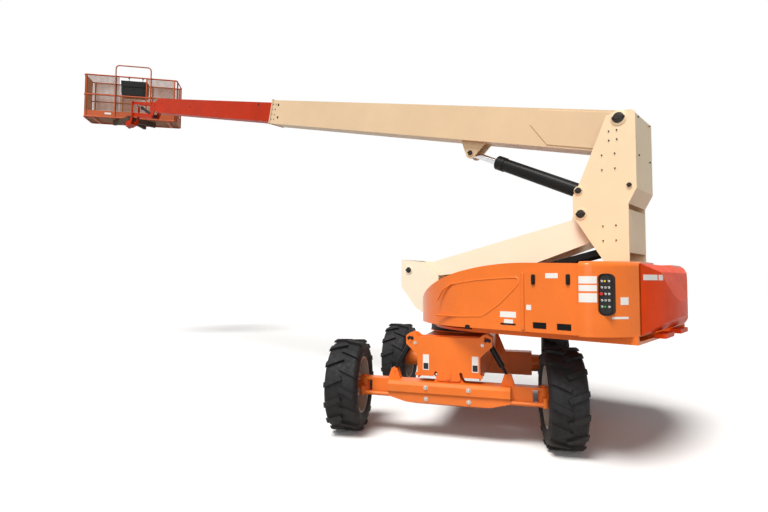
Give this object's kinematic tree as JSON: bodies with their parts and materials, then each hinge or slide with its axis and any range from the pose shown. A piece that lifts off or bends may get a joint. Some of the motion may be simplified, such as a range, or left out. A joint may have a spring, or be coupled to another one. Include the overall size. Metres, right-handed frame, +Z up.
{
  "type": "articulating boom lift",
  "caption": "Self-propelled articulating boom lift: wheeled chassis, swinging turntable, folding tower, telescopic boom, jib and guarded work platform, posed with the boom out.",
  "frame": {"origin": "on the ground under the swing axis, midway between the axles and the wheels", "axes": "+X across the chassis, +Y from the steer axle towards the drive axle, +Z up"},
  "size_m": [13.2097, 7.3686, 7.3509],
  "materials": {
    "tyre_rubber": "matte black rubber",
    "rim_grey": "semi-gloss pale grey paint",
    "orange_paint": "gloss orange paint",
    "orange_rail": "orange paint on tube",
    "orange_hood": "gloss orange moulding",
    "orange_weight": "gloss orange paint on cast iron",
    "cream_paint": "semi-gloss cream paint",
    "black_paint": "satin black paint",
    "chrome_rod": "polished hard chrome",
    "black_plastic": "matte black plastic",
    "battery_case": "matte dark grey case",
    "floor_metal": "bare tread plate"
  },
  "bodies": {
    "chassis": {"chassis_frame": "orange_paint", "steer_axle": "orange_paint", "steer_axle_cover": "orange_paint", "lock_cylinder_left": "black_paint", "lock_cylinder_right": "black_paint", "drive_axle": "orange_paint", "slew_bearing": "black_paint"},
    "steer_knuckle_left": {"knuckle_left": "orange_paint"},
    "steer_knuckle_right": {"knuckle_right": "orange_paint"},
    "steering_tie_rod": {"tie_rod": "orange_paint"},
    "steer_wheel_left": {"tyre_steer_left": "tyre_rubber", "rim_steer_left": "rim_grey"},
    "steer_wheel_right": {"tyre_steer_right": "tyre_rubber", "rim_steer_right": "rim_grey"},
    "drive_wheel_left": {"tyre_drive_left": "tyre_rubber", "rim_drive_left": "rim_grey"},
    "drive_wheel_right": {"tyre_drive_right": "tyre_rubber", "rim_drive_right": "rim_grey"},
    "turntable": {"turntable_deck": "orange_paint", "hood_near": "orange_hood", "hood_far": "orange_hood", "rear_pod_near": "orange_hood", "rear_pod_far": "orange_hood", "battery_near": "battery_case", "battery_far": "battery_case", "ground_control_panel": "black_plastic", "counterweight": "orange_weight"},
    "door_near": {"hood_door_near": "orange_hood"},
    "door_far": {"hood_door_far": "orange_hood"},
    "tower_lower_arm": {"lower_tower": "cream_paint"},
    "tower_lower_link": {"lower_timing_link": "black_paint"},
    "elbow": {"tower_elbow": "cream_paint"},
    "tower_upper_arm": {"upper_tower": "cream_paint"},
    "tower_upper_links": {"upper_timing_links": "black_paint"},
    "upright": {"upright": "cream_paint", "upright_rear_cover": "cream_paint"},
    "tower_cylinder_tube": {"tower_cylinder_barrel": "black_paint"},
    "tower_cylinder_ram": {"tower_cylinder_rod": "chrome_rod"},
    "main_boom": {"boom_base": "cream_paint", "boom_wear_pads": "black_plastic"},
    "fly_boom": {"boom_fly": "orange_paint"},
    "lift_cylinder_tube": {"lift_cylinder_barrel": "black_paint"},
    "lift_cylinder_ram": {"lift_cylinder_rod": "chrome_rod"},
    "level_head": {"jib_head": "orange_paint"},
    "jib": {"jib_arm": "orange_paint"},
    "jib_upper_link": {"jib_link": "orange_paint"},
    "jib_cylinder_tube": {"jib_cylinder_barrel": "black_paint"},
    "jib_cylinder_ram": {"jib_cylinder_rod": "chrome_rod"},
    "rotator": {"platform_support": "orange_paint"},
    "platform": {"platform_mount": "black_paint", "platform_floor": "floor_metal", "platform_frame": "orange_rail", "console_hoop": "orange_paint", "platform_console": "black_plastic"},
    "gate": {"platform_gate": "orange_paint"}
  },
  "joints": [
    {"name": "swing", "type": "hinge", "parent": "chassis", "child": "turntable", "pos_m": [0, 0, 1.063], "axis": [0, 0, 1], "range_deg": [-245.4, 114.6]},
    {"name": "steer_left", "type": "hinge", "parent": "chassis", "child": "steer_knuckle_left", "pos_m": [-0.9, -1.005, 0.47], "axis": [0, 0, 1], "range_deg": [-42, 28]},
    {"name": "steer_right", "type": "hinge", "parent": "chassis", "child": "steer_knuckle_right", "pos_m": [0.9, -1.005, 0.47], "axis": [0, 0, 1], "range_deg": [-42, 28]},
    {"name": "tie_rod_slide", "type": "slide", "parent": "chassis", "child": "steering_tie_rod", "axis": [1, 0, 0], "range_m": [-0.0865, 0.0579]},
    {"name": "wheel_steer_left", "type": "hinge", "parent": "steer_knuckle_left", "child": "steer_wheel_left", "pos_m": [-1.06377, -1.02511, 0.47], "axis": [0.9925, 0.1219, 0], "continuous": true},
    {"name": "wheel_steer_right", "type": "hinge", "parent": "steer_knuckle_right", "child": "steer_wheel_right", "pos_m": [1.06377, -0.98489, 0.47], "axis": [0.9925, 0.1219, 0], "continuous": true},
    {"name": "wheel_drive_left", "type": "hinge", "parent": "chassis", "child": "drive_wheel_left", "pos_m": [-1.065, 1.005, 0.47], "axis": [1, 0, 0], "continuous": true},
    {"name": "wheel_drive_right", "type": "hinge", "parent": "chassis", "child": "drive_wheel_right", "pos_m": [1.065, 1.005, 0.47], "axis": [1, 0, 0], "continuous": true},
    {"name": "door_near", "type": "hinge", "parent": "turntable", "child": "door_near", "pos_m": [0.95762, -1.64384, 1.131], "axis": [0.9092, -0.4163, 0], "range_deg": [0, 90]},
    {"name": "door_far", "type": "hinge", "parent": "turntable", "child": "door_far", "pos_m": [1.87011, 0.34921, 1.131], "axis": [-0.9092, 0.4163, 0], "range_deg": [0, 90]},
    {"name": "tower", "type": "hinge", "parent": "turntable", "child": "tower_lower_arm", "pos_m": [1.47296, -0.67437, 1.263], "axis": [0.4163, 0.9092, 0], "range_deg": [0, 62]},
    {"name": "tower_lower_link", "type": "hinge", "parent": "turntable", "child": "tower_lower_link", "pos_m": [1.60026, -0.73265, 1.47], "axis": [0.4163, 0.9092, 0], "range_deg": [0, 62]},
    {"name": "elbow_level", "type": "hinge", "parent": "tower_lower_arm", "child": "elbow", "pos_m": [-0.32732, 0.14986, 1.373], "axis": [0.4163, 0.9092, 0], "range_deg": [-62, 0]},
    {"name": "tower_upper", "type": "hinge", "parent": "elbow", "child": "tower_upper_arm", "pos_m": [-0.58191, 0.26642, 1.703], "axis": [0.4163, 0.9092, 0], "range_deg": [-62, 0]},
    {"name": "tower_upper_links", "type": "hinge", "parent": "elbow", "child": "tower_upper_links", "pos_m": [-0.32732, 0.14986, 1.373], "axis": [0.4163, 0.9092, 0], "range_deg": [-62, 0]},
    {"name": "upright_level", "type": "hinge", "parent": "tower_upper_arm", "child": "upright", "pos_m": [1.38204, -0.63275, 2.22], "axis": [0.4163, 0.9092, 0], "range_deg": [0, 62]},
    {"name": "tower_cylinder_swing", "type": "hinge", "parent": "turntable", "child": "tower_cylinder_tube", "pos_m": [-0.10911, 0.04995, 1.188], "axis": [0.4163, 0.9092, 0], "range_deg": [-24.28, 0]},
    {"name": "tower_cylinder_stroke", "type": "slide", "parent": "tower_cylinder_tube", "child": "tower_cylinder_ram", "axis": [0.903, -0.4134, 0.1168], "range_m": [0, 0.5902]},
    {"name": "boom_lift", "type": "hinge", "parent": "upright", "child": "main_boom", "pos_m": [1.70936, -0.78261, 3.09], "axis": [0.4163, 0.9092, 0], "range_deg": [-16, 57]},
    {"name": "lift_cylinder_swing", "type": "hinge", "parent": "upright", "child": "lift_cylinder_tube", "pos_m": [1.36385, -0.62442, 2.45], "axis": [0.4163, 0.9092, 0], "range_deg": [-14.58, 51.69]},
    {"name": "lift_cylinder_stroke", "type": "slide", "parent": "lift_cylinder_tube", "child": "lift_cylinder_ram", "axis": [-0.8196, 0.3752, 0.433], "range_m": [-0.1914, 0.6805]},
    {"name": "fly_extend", "type": "slide", "parent": "main_boom", "child": "fly_boom", "axis": [-0.8791, 0.4025, 0.2554], "range_m": [-4.4, 0.15]},
    {"name": "head_level", "type": "hinge", "parent": "fly_boom", "child": "level_head", "pos_m": [-7.82541, 3.58275, 5.75724], "axis": [0.4163, 0.9092, 0], "range_deg": [-57, 16]},
    {"name": "jib_lift", "type": "hinge", "parent": "level_head", "child": "jib", "pos_m": [-8.04635, 3.68391, 5.56224], "axis": [0.4163, 0.9092, 0], "range_deg": [-74.8, 55.2]},
    {"name": "jib_link_swing", "type": "hinge", "parent": "level_head", "child": "jib_upper_link", "pos_m": [-8.04635, 3.68391, 5.86224], "axis": [0.4163, 0.9092, 0], "range_deg": [-74.8, 55.2]},
    {"name": "rotator_level", "type": "hinge", "parent": "jib", "child": "rotator", "pos_m": [-9.11882, 4.17492, 5.87388], "axis": [0.4163, 0.9092, 0], "range_deg": [-55.2, 74.8]},
    {"name": "jib_cylinder_swing", "type": "hinge", "parent": "level_head", "child": "jib_cylinder_tube", "pos_m": [-8.04635, 3.68391, 5.56224], "axis": [0.4163, 0.9092, 0], "range_deg": [-70.04, 51.71]},
    {"name": "jib_cylinder_stroke", "type": "slide", "parent": "jib_cylinder_tube", "child": "jib_cylinder_ram", "axis": [-0.8072, 0.3696, 0.4603], "range_m": [-0.3264, 0.241]},
    {"name": "platform_rotate", "type": "hinge", "parent": "rotator", "child": "platform", "pos_m": [-9.42796, 4.31646, 5.89389], "axis": [0, 0, 1], "range_deg": [-52, 128]},
    {"name": "gate", "type": "hinge", "parent": "platform", "child": "gate", "pos_m": [-8.81381, 5.49546, 6.49388], "axis": [0, 0, 1], "range_deg": [-90, 0]}
  ],
  "couplings": [
    {"joint": "steer_right", "follows": "steer_left", "ratio": 1},
    {"joint": "tie_rod_slide", "follows": "steer_left", "m_per_rad": 0.11737},
    {"joint": "tower_lower_link", "follows": "tower", "ratio": 1},
    {"joint": "elbow_level", "follows": "tower", "ratio": -1},
    {"joint": "tower_upper", "follows": "tower", "ratio": -1},
    {"joint": "tower_upper_links", "follows": "tower", "ratio": -1},
    {"joint": "upright_level", "follows": "tower", "ratio": 1},
    {"joint": "tower_cylinder_swing", "follows": "tower", "ratio": -0.39},
    {"joint": "tower_cylinder_stroke", "follows": "tower", "m_per_rad": 0.545},
    {"joint": "lift_cylinder_swing", "follows": "boom_lift", "ratio": 0.905},
    {"joint": "lift_cylinder_stroke", "follows": "boom_lift", "m_per_rad": 0.6835},
    {"joint": "head_level", "follows": "boom_lift", "ratio": -1},
    {"joint": "jib_link_swing", "follows": "jib_lift", "ratio": 1},
    {"joint": "rotator_level", "follows": "jib_lift", "ratio": -1},
    {"joint": "jib_cylinder_swing", "follows": "jib_lift", "ratio": 0.935},
    {"joint": "jib_cylinder_stroke", "follows": "jib_lift", "m_per_rad": 0.24963}
  ]
}
